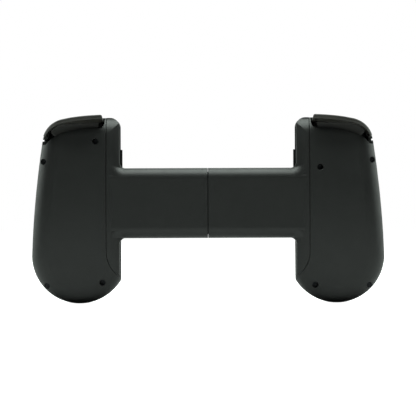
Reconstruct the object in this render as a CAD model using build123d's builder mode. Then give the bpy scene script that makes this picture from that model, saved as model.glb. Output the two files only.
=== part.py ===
from build123d import *
from math import cos, radians, sin, sqrt
import os

# Telescoping game controller for a phone, in millimetres.
# Z is up, towards the triggers. The back faces -Y and the buttons face +Y.
# Each handed piece is drawn for the player's left hand, at +X, and mirrored.

# Grip, seen from behind
bowl_radius = 23.8
bowl_x = 64.2
side_lean, side_mid_z = 1.8, 50.0
corner_lean, corner_drop = 6.8, 2.4
corner_radius = 12.0
top_mid_x, top_mid_drop = 66.0, 0.6
strip_top_z = 92.6
inner_edge_x = 44.0
inner_corner_radius = 4.5

# Grip, through its thickness
front_y = 11.2
rest_y = -0.6
crown_y = -12.2
crown_x, crown_z = 63.0, 48.0
dome_radius = 220.0
rear_rim_radius = 9.5
front_rim_radius = 2.5
wall = 2.0

# Phone channel in the inner side of each grip
channel_depth = 4.4
channel_width = 9.6
channel_low_z, channel_high_z = 11.5, 88.5
lip_bump_reach = 0.9
lip_bump_low_z, lip_bump_high_z = 40.0, 77.0
pad_thickness = 0.7
pad_margin = 1.2

# Bridge
bridge_z = 50.0
bridge_height = 34.8
bridge_rear_y = -11.4
bridge_wall = 1.6
bridge_edge_radius = 5.4
bridge_corner_radius = 3.0
plate_thickness = 2.0
middle_gap = 0.12
bridge_end_radius = 0.35
junction_tilt = 5.0
seam_x = 50.3
seam_gap = 0.2
seam_wall = 1.2
seam_low_z = 26.0
seam_foot_x, seam_foot_z = 44.4, 13.9

# Telescoping core inside the bridge
core_reach = 46.0
core_end_wall = 2.1
core_end_gap = 5.0
core_wall = 1.2
core_cover_thickness = 1.2
spring_rise = 6.0
spring_radius = 1.9
spring_wire = 0.6
spring_post_x = 10.0
spring_post_radius = 1.5
spring_anchor_x = -38.0
spring_anchor_radius = 1.2
slot_half_width = 1.9
flex_width = 5.0
flex_thickness = 0.3
flex_fold_radius = 1.1

# Fits
running_gap = 0.3
guide_gap = 0.2
pin_gap = 0.05
overrun = 2.0

# Case screws: places on the grip, seen from behind
screw_places = {
    "left": ((55.6, 67.6), (81.6, 71.2), (80.1, 9.0), (53.1, 9.3)),
    "right": ((55.7, 80.7), (81.6, 70.7), (80.1, 9.0), (52.4, 10.7)),
}
screw_head_radius = 1.35
screw_head_height = 1.1
screw_shank_radius = 0.8
screw_shank_length = 8.0
screw_recess_radius = 0.55
screw_hole_radius = 1.5
screw_seat_depth = 1.4
screw_post_radius = 2.2
screw_boss_radius = 2.8

# Sticks
stick_places = {"left": (69.8, 66.0), "right": (66.5, 38.0)}
stick_pivot_y = 1.6
stick_dome_radius = 11.4
stick_dome_thickness = 1.0
stick_dome_angle = 58.0
stick_opening_radius = 9.4
stick_neck_radius = 4.2
stick_cap_radius = 8.2
stick_cap_height = 2.0
stick_cap_dish = 0.6
stick_cap_edge = 0.8
stick_top_y = 17.0
stick_press = 0.8
stick_shaft_radius = 1.7
stick_tube_radius = 3.0
base_half = 7.4
base_wall = 1.2
base_rear_y, base_top_y = -4.2, 3.2
base_flange_half = 9.4
base_flange_thickness = 0.8
yoke_half = 5.7
yoke_wall = 1.4
yoke_half_height = 1.3
yoke_pin_radius = 0.9
gimbal_radius = 3.4
gimbal_pin_radius = 0.8

# Direction pad
dpad_place = (66.0, 36.0)
dpad_arm = 9.6
dpad_half_width = 3.3
dpad_edge_radius = 0.8
dpad_rise = 1.8
dpad_pivot_y = 6.0
dpad_arm_low_y = 8.3
dpad_hub_radius = 3.2
dpad_disc_radius = 8.4
dpad_disc_thickness = 1.6
dpad_opening_gap = 0.8
ring_radius = 11.2
ring_wall = 1.8
ring_thickness = 1.8
ring_pin_radius = 0.8
ear_thickness = 2.0
ear_half_height = 2.2
ear_half_depth = 2.0

# Buttons
cluster_place = (66.5, 66.0)
cluster_spacing = 8.4
face_button_radius = 4.1
face_button_rise = 2.2
face_button_travel = 1.3
small_button_places = {
    "left": {"options_button": (57.8, 50.5), "capture_button": (56.4, 20.5)},
    "right": {"menu_button": (59.2, 52.2), "home_button": (56.4, 20.5)},
}
small_button_radius = 2.5
small_button_rise = 0.8
small_button_travel = 0.5
button_flange = 0.8
button_flange_thickness = 1.3
button_edge_radius = 0.6
stem_radius = 1.6
stem_low_y = 6.2
membrane_thickness = 1.0
membrane_margin = 3.6
dome_foot_radius = 3.0
dome_tip_radius = 1.8
light_place = (63.5, 15.0)
light_radius = 0.9
light_flange_radius = 1.6

# Circuit board
board_y = 1.0
board_thickness = 1.2
board_top_z = 79.0
board_gap = 0.4
standoff_radius = 1.4
standoff_places = {
    "left": ((53.0, 62.0), (81.6, 52.0), (74.0, 17.0)),
    "right": ((53.0, 73.0), (81.6, 54.0), (76.5, 18.0)),
}
chip_places = {"left": (62.0, 51.0), "right": (68.0, 56.0)}
chip_half = 3.5
chip_thickness = 1.0

# Trigger, its well and its pin
well_inner_x = 51.3
well_corner_x, well_corner_z = 55.0, 87.4
well_corner_radius = 2.9
well_mid_x, well_mid_z = 66.5, 86.3
well_bend_x, well_bend_z = 73.5, 84.3
well_end_x, well_end_z = 79.4, 80.4
well_notch_x, well_notch_z = 80.6, 79.2
trigger_inner_x = 51.9
trigger_top_z = 93.5
trigger_mid_x, trigger_mid_z = 62.0, 92.9
trigger_bend_x, trigger_bend_z = 70.6, 91.7
trigger_tip_x, trigger_tip_z = 81.5, 83.6
trigger_inner_thickness = 2.0
trigger_root_thickness = 2.4
trigger_flare = 0.9
trigger_dip = 0.1
trigger_corner_radius = 0.9
trigger_lip_radius = 0.6
trigger_tip_thickness = 1.2
trigger_front_y, trigger_lip_y = -1.0, -17.0
trigger_lip_end_x, trigger_lip_end_y = 81.9, -8.0
web_y, web_thickness = -4.4, 1.6
web_low_z, web_mid_x = 85.2, 60.4
web_deep_z = 82.0
web_slope_x = 75.0
web_outer_z = 87.5
web_inner_x, web_outer_x = 54.2, 78.0
trigger_pivot_y, trigger_pivot_z = 1.6, 82.6
trigger_pin_radius = 1.0
trigger_eye_radius = 2.4
trigger_arm_xs = (61.1, 71.3)
trigger_arm_thickness = 2.4
bracket_xs = (59.2, 74.0)
bracket_thickness = 1.6
bracket_low_z, bracket_high_z = 79.9, 85.2
trigger_spring_radius = 1.8
trigger_spring_bore = 1.15
trigger_spring_low_x, trigger_spring_high_x = 64.2, 70.2

# Bumper and its switch
bumper_inner_x = 53.0
bumper_thickness = 2.2
bumper_front_y = 8.3
bumper_rear_y = -0.3
bumper_end_z = 82.0
bumper_press = 0.8
bumper_pivot_x, bumper_pivot_z = 55.2, 88.0
bumper_pin_radius = 0.9
bumper_eye_radius = 2.8
bumper_eye_low_y, bumper_eye_high_y = 2.0, 6.0
shelf_low_x, shelf_high_x = 64.6, 70.6
shelf_low_z = 84.8
shelf_thickness = 1.0
shelf_rear_y = 2.0
switch_half = 2.4
switch_height = 2.6
switch_plunger_radius = 0.9
switch_plunger_height = 0.4
switch_y = 5.2

# Sockets and the phone plug
jack_x = 64.7
jack_bore_radius = 1.8
jack_bore_depth = 14.0
jack_half = 3.1
jack_nozzle_radius = 2.8
jack_nozzle_length = 2.4
jack_length = 15.4
jack_mouth_z = 0.6
port_x = 64.7
port_width, port_height, port_depth = 8.94, 3.26, 7.4
port_wall = 0.3
port_mouth_z = 0.9
port_tongue_width, port_tongue_height = 6.6, 0.7
port_gap = 0.25
plug_width, plug_height, plug_length = 8.25, 2.4, 6.6
plug_wall = 0.35
plug_base_width, plug_base_height = 11.2, 3.8
plug_window_width, plug_window_height = 12.4, 7.2
plug_pivot_depth = 3.6
plug_pin_radius = 1.0
plug_pin_length = 1.5
carrier_depth = 3.8
carrier_half_height = 2.0
carrier_plate = 1.4
carrier_back = 1.0
cable_window_half = 6.0

# Places that follow from the sizes above
bowl_z = bowl_radius
side_mid_x = bowl_x + bowl_radius - side_lean
corner_x = bowl_x + bowl_radius - corner_lean
corner_z = strip_top_z - corner_drop
top_mid_z = strip_top_z - top_mid_drop
blank_inner_x = bowl_x - bowl_radius
channel_floor_x = inner_edge_x + channel_depth
channel_front_y = rest_y + channel_width
channel_mid_y = rest_y + channel_width / 2
cavity_x = channel_floor_x + wall
face_y = front_y - wall
far_x = bowl_x + bowl_radius + overrun
far_z = trigger_top_z + overrun
board_front_y = board_y + board_thickness
bridge_low_z = bridge_z - bridge_height / 2
bridge_high_z = bridge_z + bridge_height / 2
plate_rear_y = rest_y - plate_thickness
slide_travel = core_reach - core_end_wall - slot_half_width - spring_post_x
core_rear_y = bridge_rear_y + bridge_wall + running_gap
core_front_y = plate_rear_y - running_gap
core_half_height = bridge_height / 2 - bridge_wall - running_gap
core_edge_radius = bridge_edge_radius - bridge_wall - running_gap
core_cover_y = core_front_y - core_cover_thickness
core_floor_y = core_rear_y + core_wall
spring_y = (core_floor_y + core_cover_y) / 2
screw_seat_y = rest_y - screw_seat_depth
flange_top_y = face_y - running_gap
flange_low_y = flange_top_y - button_flange_thickness
membrane_top_y = board_front_y + membrane_thickness


def keep(piece, name):
    piece.label = name
    export_step(piece, f"parts/{name}.step")


def handed(piece, side):
    return piece if side == "left" else mirror(piece, about=Plane.YZ)


def facing(y):
    return Plane.XZ.offset(-y)


def block(low, high, mode=Mode.ADD):
    size = [b - a for a, b in zip(low, high)]
    middle = [(a + b) / 2 for a, b in zip(low, high)]
    with Locations(tuple(middle)):
        Box(*size, mode=mode)


def rod_x(y, z, radius, low_x, high_x, mode=Mode.ADD):
    with Locations(Location(((low_x + high_x) / 2, y, z), (0, 90, 0))):
        Cylinder(radius, high_x - low_x, mode=mode)


def rod_y(x, z, radius, low_y, high_y, mode=Mode.ADD):
    with Locations(Location((x, (low_y + high_y) / 2, z), (90, 0, 0))):
        Cylinder(radius, high_y - low_y, mode=mode)


def rod_z(x, y, radius, low_z, high_z, mode=Mode.ADD):
    with Locations((x, y, (low_z + high_z) / 2)):
        Cylinder(radius, high_z - low_z, mode=mode)


def rounded_bar(low, high, radius):
    """A block whose two rear edges along X are rounded."""
    with BuildPart() as bar:
        block(low, high)
        fillet(bar.edges().filter_by(Axis.X).group_by(Axis.Y)[0], radius)
    return bar.part


def grip_outline(inset=0.0):
    """The grip seen from behind: a round bowl, a long side and a square top."""
    with BuildSketch() as outline:
        with BuildLine():
            bowl = ThreePointArc(
                (blank_inner_x, bowl_z), (bowl_x, 0), (bowl_x + bowl_radius, bowl_z)
            )
            side = ThreePointArc(bowl @ 1, (side_mid_x, side_mid_z), (corner_x, corner_z))
            top = ThreePointArc(side @ 1, (top_mid_x, top_mid_z), (blank_inner_x, strip_top_z))
            Line(top @ 1, bowl @ 0)
        make_face()
        fillet(outline.vertices().sort_by_distance((corner_x, corner_z))[0], corner_radius)
        if inset:
            offset(amount=-inset, kind=Kind.INTERSECTION)
    return outline.sketch


def grip_blank(inset=0.0):
    """One grip as a full block with a domed back and rounded rims."""
    with BuildPart() as blank:
        with BuildSketch(facing(front_y - inset)):
            add(grip_outline(inset))
        extrude(amount=front_y - crown_y + overrun)
        with Locations((crown_x, crown_y + dome_radius, crown_z)):
            Sphere(dome_radius - inset, mode=Mode.INTERSECT)
        rim = blank.edges().filter_by(lambda edge: edge.bounding_box().max.Y < rest_y)
        fillet(rim, rear_rim_radius - inset)
        fillet(blank.faces().sort_by(Axis.Y)[-1].edges(), front_rim_radius - inset)
    return blank.solid()


def strip_region(grow=0.0, outer=False):
    """The inner strip of the grip that belongs to the bridge shell."""
    edge_x = inner_edge_x - overrun if outer else inner_edge_x
    top_z = far_z if outer else strip_top_z
    with BuildSketch() as strip:
        with BuildLine():
            seam = Line((seam_x + grow, top_z), (seam_x + grow, seam_low_z))
            foot = TangentArc(seam @ 1, (seam_foot_x, seam_foot_z - grow), tangent=seam % 1)
            Polyline(foot @ 1, (edge_x, seam_foot_z - grow), (edge_x, top_z), seam @ 0)
        make_face()
        if not outer:
            fillet(strip.vertices().sort_by_distance((edge_x, top_z))[0], inner_corner_radius)
    return strip.sketch


def inner_side():
    """Everything outside the inner edge line, with its rounded top corner."""
    with BuildSketch() as keep_area:
        with BuildLine():
            Polyline(
                (inner_edge_x, -overrun), (inner_edge_x, strip_top_z),
                (far_x, strip_top_z), (far_x, -overrun), close=True,
            )
        make_face()
        corner = keep_area.vertices().sort_by_distance((inner_edge_x, strip_top_z))[0]
        fillet(corner, inner_corner_radius)
    return keep_area.sketch


def half_region():
    """The bridge half seen from behind: its bar and the strip at the grip."""
    with BuildSketch() as half:
        add(strip_region())
        with BuildLine():
            Polyline(
                (middle_gap / 2, bridge_low_z), (seam_x, bridge_low_z),
                (seam_x, bridge_high_z), (middle_gap / 2, bridge_high_z), close=True,
            )
        make_face()
        for z in (bridge_low_z, bridge_high_z):
            fillet(half.vertices().sort_by_distance((inner_edge_x, z))[0], bridge_corner_radius)
    return half.sketch


blank = grip_blank()
hollow = grip_blank(wall)


def rear_cover(side):
    """The domed back of a grip, a shell with a boss round each screw."""
    deep = rest_y - crown_y + 2 * overrun
    with BuildPart() as cavity:
        add(hollow)
        block((inner_edge_x + wall, crown_y, 0), (far_x, rest_y + overrun, far_z), Mode.INTERSECT)
        with BuildSketch(facing(rest_y + overrun)):
            add(strip_region(seam_gap + seam_wall, outer=True))
        extrude(amount=deep, mode=Mode.SUBTRACT)
        for x, z in screw_places[side]:
            rod_y(x, z, screw_boss_radius, crown_y - overrun, rest_y + overrun, Mode.SUBTRACT)
    with BuildPart() as cover:
        add(blank)
        block((inner_edge_x, crown_y - overrun, 0), (far_x, rest_y, far_z), Mode.INTERSECT)
        with BuildSketch(facing(rest_y + overrun)):
            add(strip_region(seam_gap, outer=True))
        extrude(amount=deep, mode=Mode.SUBTRACT)
        add(cavity.part, mode=Mode.SUBTRACT)
        with BuildSketch(facing(rest_y + overrun)):
            add(well_region())
        extrude(amount=deep, mode=Mode.SUBTRACT)
        for x, z in screw_places[side]:
            rod_y(x, z, screw_hole_radius, crown_y - overrun, screw_seat_y, Mode.SUBTRACT)
            rod_y(x, z, screw_shank_radius + guide_gap, crown_y, rest_y + overrun, Mode.SUBTRACT)
        block(
            (seam_x - overrun, core_floor_y, bridge_z - cable_window_half),
            (seam_x + seam_gap + seam_wall + overrun, plate_rear_y, bridge_z + cable_window_half),
            Mode.SUBTRACT,
        )
    return handed(cover.part, side)


def well_region():
    """The cut at the top of the rear cover that the trigger moves in."""
    with BuildSketch() as well:
        with BuildLine():
            end = Line((well_inner_x, far_z), (well_inner_x, well_corner_z + well_corner_radius))
            corner = TangentArc(end @ 1, (well_corner_x, well_corner_z), tangent=end % 1)
            floor = ThreePointArc(corner @ 1, (well_mid_x, well_mid_z), (well_bend_x, well_bend_z))
            tail = TangentArc(floor @ 1, (well_end_x, well_end_z), tangent=floor % 1)
            Polyline(
                tail @ 1, (well_notch_x, well_notch_z), (far_x, well_notch_z),
                (far_x, far_z), end @ 0,
            )
        make_face()
    return well.sketch


def front_cover(side):
    """The front of a grip with the phone channel, posts and button openings."""
    stick_x, stick_z = stick_places[side]
    with BuildPart() as cavity:
        add(hollow)
        block((cavity_x, rest_y - overrun, 0), (far_x, front_y, far_z), Mode.INTERSECT)
        for x, z in screw_places[side]:
            rod_y(x, z, screw_post_radius, rest_y - 2 * overrun, front_y, Mode.SUBTRACT)
        for x, z in standoff_places[side]:
            rod_y(x, z, standoff_radius, board_front_y, front_y, Mode.SUBTRACT)
        for x in bracket_xs:
            block(
                (x, rest_y - 2 * overrun, bracket_low_z),
                (x + bracket_thickness, front_y, bracket_high_z), Mode.SUBTRACT,
            )
        rod_y(
            bumper_pivot_x, bumper_pivot_z, bumper_pin_radius, bumper_rear_y, front_y,
            Mode.SUBTRACT,
        )
        block(
            (shelf_low_x, shelf_rear_y, shelf_low_z),
            (shelf_high_x, front_y, shelf_low_z + shelf_thickness), Mode.SUBTRACT,
        )
        if side == "left":
            for hand in (-1, 1):
                ear_x = dpad_place[0] + hand * (ring_radius + running_gap + ear_thickness / 2)
                block(
                    (ear_x - ear_thickness / 2, dpad_pivot_y - ear_half_depth,
                     dpad_place[1] - ear_half_height),
                    (ear_x + ear_thickness / 2, front_y, dpad_place[1] + ear_half_height),
                    Mode.SUBTRACT,
                )
    with BuildPart() as cover:
        add(blank)
        with BuildSketch(facing(front_y + overrun)):
            add(inner_side())
        extrude(amount=front_y + overrun - rest_y, mode=Mode.INTERSECT)
        block(
            (inner_edge_x - overrun, rest_y - overrun, channel_low_z),
            (channel_floor_x, channel_front_y, channel_high_z), Mode.SUBTRACT,
        )
        block(
            (inner_edge_x - lip_bump_reach, channel_front_y, lip_bump_low_z),
            (channel_floor_x, front_y - front_rim_radius / 2, lip_bump_high_z),
        )
        add(cavity.part, mode=Mode.SUBTRACT)
        with BuildSketch(facing(bumper_front_y + running_gap)):
            add(bumper_band(
                bumper_inner_x - running_gap, bumper_end_z - bumper_press - guide_gap,
                bumper_thickness + guide_gap, -overrun,
            ))
        extrude(amount=bumper_front_y - rest_y + overrun, mode=Mode.SUBTRACT)
        for x, z in screw_places[side]:
            tip_y = screw_seat_y + screw_shank_length + running_gap
            rod_y(x, z, screw_shank_radius + pin_gap, rest_y - overrun, tip_y, Mode.SUBTRACT)
        rod_x(
            trigger_pivot_y, trigger_pivot_z, trigger_pin_radius + pin_gap,
            bracket_xs[0] - overrun, bracket_xs[1] + bracket_thickness, Mode.SUBTRACT,
        )
        through = (face_y - overrun, front_y + overrun, Mode.SUBTRACT)
        rod_y(stick_x, stick_z, stick_opening_radius, *through)
        for x, z in small_button_places[side].values():
            rod_y(x, z, small_button_radius + guide_gap, *through)
        if side == "left":
            with BuildSketch(facing(front_y + overrun)):
                add(cross_outline(dpad_opening_gap))
            extrude(amount=overrun + wall + running_gap, mode=Mode.SUBTRACT)
            reach = ring_radius + running_gap + ear_thickness + guide_gap
            rod_x(
                dpad_pivot_y, dpad_place[1], ring_pin_radius + pin_gap,
                dpad_place[0] - reach, dpad_place[0] + reach, Mode.SUBTRACT,
            )
            rod_z(
                jack_x, board_front_y + jack_half, jack_nozzle_radius + guide_gap,
                -overrun, wall + overrun, Mode.SUBTRACT,
            )
        else:
            for x, z in cluster_centres():
                rod_y(x, z, face_button_radius + guide_gap, *through)
            rod_y(*light_place, light_radius + pin_gap, *through)
            block(
                (port_x - port_width / 2 - port_gap, board_front_y - port_gap, -overrun),
                (port_x + port_width / 2 + port_gap, board_front_y + port_height + port_gap,
                 wall + overrun),
                Mode.SUBTRACT,
            )
            block(
                (channel_floor_x - overrun, channel_mid_y - plug_window_height / 2,
                 bridge_z - plug_window_width / 2),
                (cavity_x + overrun, channel_mid_y + plug_window_height / 2,
                 bridge_z + plug_window_width / 2),
                Mode.SUBTRACT,
            )
    return handed(cover.part, side)


def bumper_band(low_x, low_z, thickness, proud=0.0):
    """The stretch of the grip's top and shoulder that the bumper fills."""
    with BuildSketch() as band:
        add(grip_outline(proud))
        add(grip_outline(thickness), mode=Mode.SUBTRACT)
        with BuildLine():
            Polyline((low_x, low_z), (far_x, low_z), (far_x, far_z), (low_x, far_z), close=True)
        make_face(mode=Mode.INTERSECT)
    return band.sketch


def cross_outline(grow=0.0):
    """The direction pad's cross, or its opening when grown."""
    with BuildSketch() as cross:
        with Locations(dpad_place):
            for turn in (0, 90):
                Rectangle(
                    2 * (dpad_arm + grow), 2 * (dpad_half_width + grow), rotation=turn
                )
    return cross.sketch


def cluster_centres():
    x, z = cluster_place
    return [
        (x, z + cluster_spacing), (x, z - cluster_spacing),
        (x - cluster_spacing, z), (x + cluster_spacing, z),
    ]


def junction(hand):
    """The bar's rounded edge where it turns into the strip, above or below the bar."""
    centre_x = inner_edge_x - bridge_corner_radius
    centre_z = bridge_z + hand * (bridge_height / 2 + bridge_corner_radius)
    reach = bridge_corner_radius + bridge_edge_radius + running_gap
    hinge_z = centre_z - hand * reach
    with BuildPart() as corner:
        with BuildSketch(facing(plate_rear_y)):
            with Locations((centre_x, centre_z)):
                Circle(reach)
                Circle(bridge_corner_radius, mode=Mode.SUBTRACT)
            with BuildLine():
                Polyline(
                    (centre_x, centre_z), (centre_x + reach, centre_z),
                    (centre_x + reach, hinge_z), (centre_x, hinge_z), close=True,
                )
            make_face(mode=Mode.INTERSECT)
        extrude(amount=plate_rear_y - bridge_rear_y + overrun)
        slope = radians(junction_tilt)
        back = Plane(
            origin=(centre_x, bridge_rear_y, hinge_z), z_dir=(0, -cos(slope), hand * sin(slope))
        )
        split(bisect_by=back, keep=Keep.BOTTOM)
        diagonal = bridge_corner_radius / sqrt(2)
        rim = (centre_x + diagonal, bridge_rear_y, centre_z - hand * diagonal)
        fillet(corner.edges().sort_by_distance(rim)[0], bridge_edge_radius)
    return corner.part


def bridge_shell(side):
    """The rear of a bridge half: its bar and the strip along the grip's inner edge."""
    with BuildPart() as bar:
        add(rounded_bar(
            (middle_gap / 2, bridge_rear_y, bridge_low_z),
            (seam_x + overrun, rest_y, bridge_high_z), bridge_edge_radius,
        ))
        fillet(bar.faces().sort_by(Axis.X)[0].edges(), bridge_end_radius)
    with BuildPart() as shell:
        add(blank)
        add(bar.part)
        for hand in (1, -1):
            add(junction(hand))
        with BuildSketch(facing(plate_rear_y)):
            add(half_region())
        extrude(amount=plate_rear_y - crown_y + overrun, mode=Mode.INTERSECT)
        add(
            rounded_bar(
                (-overrun, bridge_rear_y + bridge_wall, bridge_low_z + bridge_wall),
                (core_reach + running_gap, rest_y, bridge_high_z - bridge_wall),
                bridge_edge_radius - bridge_wall,
            ),
            mode=Mode.SUBTRACT,
        )
        block(
            (seam_x - core_end_gap, core_floor_y, bridge_z - cable_window_half),
            (seam_x + overrun, rest_y, bridge_z + cable_window_half), Mode.SUBTRACT,
        )
    return handed(shell.part, side)


def bridge_plate(side):
    post_z = bridge_z + spring_rise * (1 if side == "left" else -1)
    with BuildPart() as plate:
        with BuildSketch(facing(rest_y)):
            add(half_region())
        extrude(amount=plate_thickness)
        rod_y(
            spring_post_x, post_z, spring_post_radius, core_floor_y + running_gap, plate_rear_y
        )
    return handed(plate.part, side)


def cradle_pad(side):
    with BuildPart() as pad:
        block(
            (channel_floor_x - pad_thickness, rest_y + pad_margin, channel_low_z + pad_margin),
            (channel_floor_x, channel_front_y - pad_margin, channel_high_z - pad_margin),
        )
        if side == "right":
            block(
                (channel_floor_x - overrun, rest_y, bridge_z - plug_window_width / 2),
                (channel_floor_x + overrun, channel_front_y, bridge_z + plug_window_width / 2),
                Mode.SUBTRACT,
            )
    return handed(pad.part, side)


def bridge_core():
    with BuildPart() as core:
        add(rounded_bar(
            (-core_reach, core_rear_y, bridge_z - core_half_height),
            (core_reach, core_cover_y, bridge_z + core_half_height), core_edge_radius,
        ))
        add(
            rounded_bar(
                (-core_reach + core_wall, core_floor_y, bridge_z - core_half_height + core_wall),
                (core_reach - core_wall, core_cover_y + overrun,
                 bridge_z + core_half_height - core_wall),
                core_edge_radius - core_wall,
            ),
            mode=Mode.SUBTRACT,
        )
        for hand in (1, -1):
            rod_y(
                hand * spring_anchor_x, bridge_z + hand * spring_rise, spring_anchor_radius,
                core_floor_y - core_wall / 2, core_cover_y,
            )
    return core.part


def core_cover():
    with BuildPart() as cover:
        block(
            (-core_reach, core_cover_y, bridge_z - core_half_height),
            (core_reach, core_front_y, bridge_z + core_half_height),
        )
        for hand in (1, -1):
            near_x = spring_post_x - slot_half_width
            far_slot_x = spring_post_x + slide_travel + slot_half_width
            slot_x = hand * (near_x + far_slot_x) / 2
            with Locations((slot_x, core_front_y, bridge_z + hand * spring_rise)):
                Box(far_slot_x - near_x, 2 * overrun, 2 * slot_half_width, mode=Mode.SUBTRACT)
    return cover.part


def slide_spring(side):
    hand = 1 if side == "left" else -1
    start_x = spring_anchor_x + spring_anchor_radius + pin_gap
    end_x = spring_post_x - spring_post_radius - pin_gap
    z = bridge_z + spring_rise
    with BuildPart() as spring:
        rod_x(spring_y, z, spring_radius, start_x + spring_radius, end_x - spring_radius)
        rod_x(
            spring_y, z, spring_radius - spring_wire,
            start_x + spring_radius + spring_wire, end_x - spring_radius - spring_wire,
            Mode.SUBTRACT,
        )
        rod_x(spring_y, z, spring_wire / 2, start_x, start_x + spring_radius + spring_wire / 2)
        rod_x(spring_y, z, spring_wire / 2, end_x - spring_radius - spring_wire / 2, end_x)
    if hand == 1:
        return spring.part
    return Rot(0, 180, 0) * Pos(0, 0, -2 * bridge_z) * spring.part


def flex_cable():
    end_x = core_reach - core_wall - running_gap
    low_y = core_floor_y + pin_gap + flex_thickness / 2
    high_y = low_y + 2 * flex_fold_radius
    with BuildPart() as cable:
        with BuildSketch(Plane.XY.offset(bridge_z - flex_width / 2)):
            with BuildLine():
                run = Line((-end_x, low_y), (core_reach / 2, low_y))
                fold = TangentArc(run @ 1, (core_reach / 2, high_y), tangent=run % 1)
                Line(fold @ 1, (-core_reach / 2, high_y))
            trace(line_width=flex_thickness)
        extrude(amount=flex_width)
    return cable.part


def case_screws(side):
    with BuildPart() as screws:
        for x, z in screw_places[side]:
            head_y = screw_seat_y - screw_head_height
            rod_y(x, z, screw_head_radius, head_y, screw_seat_y)
            rod_y(x, z, screw_shank_radius, screw_seat_y, screw_seat_y + screw_shank_length)
            half = screw_recess_radius / 3
            for wide, tall in ((screw_recess_radius, half), (half, screw_recess_radius)):
                block(
                    (x - wide, head_y - overrun, z - tall),
                    (x + wide, head_y + screw_head_height / 2, z + tall), Mode.SUBTRACT,
                )
    return handed(screws.part, side)


def circuit_board(side):
    stick_x, stick_z = stick_places[side]
    with BuildPart() as board:
        with BuildSketch(facing(board_front_y)):
            add(grip_outline(wall + board_gap))
            with BuildLine():
                Polyline(
                    (cavity_x + board_gap, 0), (far_x, 0), (far_x, board_top_z),
                    (cavity_x + board_gap, board_top_z), close=True,
                )
            make_face(mode=Mode.INTERSECT)
        extrude(amount=board_thickness)
        for x, z in screw_places[side]:
            rod_y(
                x, z, screw_boss_radius + running_gap, board_y - overrun, board_front_y + overrun,
                Mode.SUBTRACT,
            )
        half = base_half + running_gap
        block(
            (stick_x - half, board_y - overrun, stick_z - half),
            (stick_x + half, board_front_y + overrun, stick_z + half), Mode.SUBTRACT,
        )
        chip_x, chip_z = chip_places[side]
        block(
            (chip_x - chip_half, board_y - chip_thickness, chip_z - chip_half),
            (chip_x + chip_half, board_y, chip_z + chip_half),
        )
    return handed(board.part, side)


def stick_base(side):
    x, z = stick_places[side]
    inner = base_half - base_wall
    with BuildPart() as base:
        block((x - base_half, base_rear_y, z - base_half), (x + base_half, base_top_y, z + base_half))
        block(
            (x - base_flange_half, board_front_y, z - base_flange_half),
            (x + base_flange_half, board_front_y + base_flange_thickness, z + base_flange_half),
        )
        block(
            (x - inner, base_rear_y + base_wall, z - inner),
            (x + inner, base_top_y + overrun, z + inner), Mode.SUBTRACT,
        )
        rod_x(
            stick_pivot_y, z, yoke_pin_radius + pin_gap, x - base_half - overrun,
            x + base_half + overrun, Mode.SUBTRACT,
        )
    return handed(base.part, side)


def stick_yoke(side):
    x, z = stick_places[side]
    inner = yoke_half - yoke_wall
    with BuildPart() as yoke:
        low_y, high_y = stick_pivot_y - yoke_half_height, stick_pivot_y + yoke_half_height
        block((x - yoke_half, low_y, z - yoke_half), (x + yoke_half, high_y, z + yoke_half))
        rod_x(stick_pivot_y, z, yoke_pin_radius, x - base_half + guide_gap, x + base_half - guide_gap)
        block(
            (x - inner, low_y - overrun, z - inner), (x + inner, high_y + overrun, z + inner),
            Mode.SUBTRACT,
        )
        rod_z(
            x, stick_pivot_y, gimbal_pin_radius + pin_gap, z - yoke_half - overrun,
            z + yoke_half + overrun, Mode.SUBTRACT,
        )
    return handed(yoke.part, side)


def stick_gimbal(side):
    x, z = stick_places[side]
    bore_top = stick_top_y - stick_cap_height - stick_neck_radius / 2
    with BuildPart() as gimbal:
        with Locations((x, stick_pivot_y, z)):
            Sphere(gimbal_radius)
        rod_z(x, stick_pivot_y, gimbal_pin_radius, z - yoke_half + guide_gap, z + yoke_half - guide_gap)
        rod_y(x, z, stick_shaft_radius, stick_pivot_y, bore_top - stick_press - guide_gap / 2)
    return handed(gimbal.part, side)


def stick_cap(side):
    x, z = stick_places[side]
    outer, inner = stick_dome_radius, stick_dome_radius - stick_dome_thickness
    bore = stick_shaft_radius + pin_gap
    bore_top = stick_top_y - stick_cap_height - stick_neck_radius / 2 - stick_pivot_y
    rim = radians(stick_dome_angle)
    top = stick_top_y - stick_pivot_y
    disc = top - stick_cap_height
    neck_foot = sqrt(outer**2 - stick_neck_radius**2)
    tube_top = sqrt(inner**2 - stick_tube_radius**2)
    tube_foot = gimbal_radius + stick_press + 2 * running_gap

    def on_arc(radius, angle):
        return (radius * sin(angle), radius * cos(angle))

    with BuildPart() as cap:
        with BuildSketch(Plane.XY) as profile:
            with BuildLine():
                tube = Polyline(
                    (bore, bore_top), (bore, tube_foot), (stick_tube_radius, tube_foot),
                    (stick_tube_radius, tube_top),
                )
                under = RadiusArc(tube @ 1, on_arc(inner, rim), inner)
                edge = Line(under @ 1, on_arc(outer, rim))
                over = RadiusArc(edge @ 1, (stick_neck_radius, neck_foot), -outer)
                side_line = Polyline(
                    over @ 1, (stick_neck_radius, disc),
                    (stick_cap_radius - stick_cap_edge, disc),
                    (stick_cap_radius, disc + stick_cap_edge),
                    (stick_cap_radius, top - stick_cap_edge),
                    (stick_cap_radius - stick_cap_edge, top),
                    (stick_cap_radius - 2 * stick_cap_edge, top),
                )
                dish = TangentArc(
                    (0, top - stick_cap_dish), side_line @ 1, tangent=(1, 0)
                )
                Polyline(dish @ 0, (0, bore_top), (bore, bore_top))
            make_face()
        revolve(axis=Axis.Y)
    placed = Pos(x, stick_pivot_y, z) * cap.part
    return handed(placed, side)


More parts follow.
